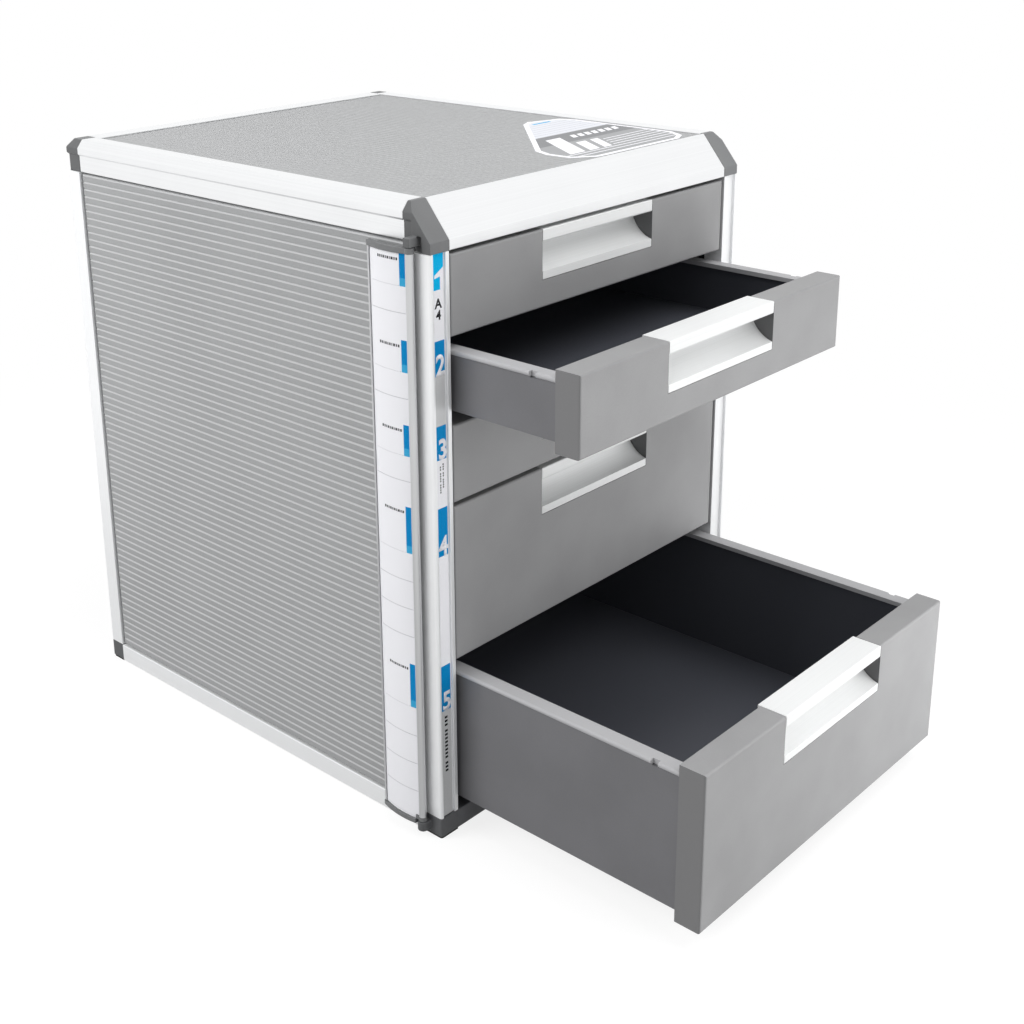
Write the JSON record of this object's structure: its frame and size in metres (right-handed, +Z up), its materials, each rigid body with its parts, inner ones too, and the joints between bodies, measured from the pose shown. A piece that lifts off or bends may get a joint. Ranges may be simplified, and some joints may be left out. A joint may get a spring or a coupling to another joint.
{
  "type": "desktop drawer cabinet",
  "caption": "Desktop cabinet with an aluminium frame, fluted boards, shallow and deep sliding A4 drawers with scooped handles, and a swing-out index plate.",
  "frame": {"origin": "centre of the footprint of the frame, drawers not counted, on the surface that the soles stand on", "axes": "+X to the right seen from the front, +Y to the rear, +Z up; the drawers open towards -Y"},
  "size_m": [0.3076, 0.5266, 0.398],
  "materials": {
    "board_plastic": "matt moulded grey, fluted on the sides",
    "anodised_aluminium": "satin natural anodised extrusion",
    "corner_plastic": "matt moulded grey",
    "dark_frame_plastic": "matt dark grey",
    "sole_rubber": "black rubber pad",
    "runner_plastic": "matt near-black moulding",
    "front_plastic": "fine-textured moulded grey",
    "tray_plastic": "matt moulded dark grey",
    "printed_card": "white card with blue index bars",
    "clear_plastic": "clear glossy sheet",
    "screw_steel": "zinc-plated screws"
  },
  "bodies": {
    "cabinet": {"top_panel": "board_plastic", "left_side_panel": "board_plastic", "right_side_panel": "board_plastic", "rear_panel": "board_plastic", "bottom_panel": "board_plastic", "top_front_profile": "anodised_aluminium", "top_rear_profile": "anodised_aluminium", "top_left_profile": "anodised_aluminium", "top_right_profile": "anodised_aluminium", "front_left_post": "anodised_aluminium", "front_right_post": "anodised_aluminium", "rear_left_post": "anodised_aluminium", "rear_right_post": "anodised_aluminium", "bottom_front_rail": "dark_frame_plastic", "bottom_rear_rail": "anodised_aluminium", "bottom_left_rail": "anodised_aluminium", "bottom_right_rail": "anodised_aluminium", "front_left_cap": "corner_plastic", "front_right_cap": "corner_plastic", "rear_left_cap": "corner_plastic", "rear_right_cap": "corner_plastic", "front_left_foot": "corner_plastic", "front_right_foot": "corner_plastic", "rear_left_foot": "corner_plastic", "rear_right_foot": "corner_plastic", "foot_soles": "sole_rubber", "left_runner_panel": "runner_plastic", "right_runner_panel": "runner_plastic", "number_strip": "printed_card", "number_strip_window": "clear_plastic", "top_label": "printed_card"},
    "index_plate": {"index_plate": "anodised_aluminium", "index_card": "printed_card", "index_window": "clear_plastic", "index_top_cap": "corner_plastic", "index_bottom_cap": "corner_plastic"},
    "drawer_1": {"drawer_1_front": "front_plastic", "drawer_1_tray": "tray_plastic", "drawer_1_handle": "anodised_aluminium", "drawer_1_screws": "screw_steel"},
    "drawer_2": {"drawer_2_front": "front_plastic", "drawer_2_tray": "tray_plastic", "drawer_2_handle": "anodised_aluminium", "drawer_2_screws": "screw_steel"},
    "drawer_3": {"drawer_3_front": "front_plastic", "drawer_3_tray": "tray_plastic", "drawer_3_handle": "anodised_aluminium", "drawer_3_screws": "screw_steel"},
    "drawer_4": {"drawer_4_front": "front_plastic", "drawer_4_tray": "tray_plastic", "drawer_4_handle": "anodised_aluminium", "drawer_4_screws": "screw_steel"},
    "drawer_5": {"drawer_5_front": "front_plastic", "drawer_5_tray": "tray_plastic", "drawer_5_handle": "anodised_aluminium", "drawer_5_screws": "screw_steel"}
  },
  "joints": [
    {"name": "drawer_1_slide", "type": "slide", "parent": "cabinet", "child": "drawer_1", "axis": [0, -1, 0], "range_m": [0, 0.23]},
    {"name": "drawer_2_slide", "type": "slide", "parent": "cabinet", "child": "drawer_2", "axis": [0, -1, 0], "range_m": [-0.0924, 0.1376]},
    {"name": "drawer_3_slide", "type": "slide", "parent": "cabinet", "child": "drawer_3", "axis": [0, -1, 0], "range_m": [0, 0.23]},
    {"name": "drawer_4_slide", "type": "slide", "parent": "cabinet", "child": "drawer_4", "axis": [0, -1, 0], "range_m": [0, 0.23]},
    {"name": "drawer_5_slide", "type": "slide", "parent": "cabinet", "child": "drawer_5", "axis": [0, -1, 0], "range_m": [-0.1793, 0.0507]},
    {"name": "index_plate_hinge", "type": "hinge", "parent": "cabinet", "child": "index_plate", "pos_m": [-0.154, -0.162, 0.19], "axis": [0, 0, 1], "range_deg": [0, 90]}
  ]
}
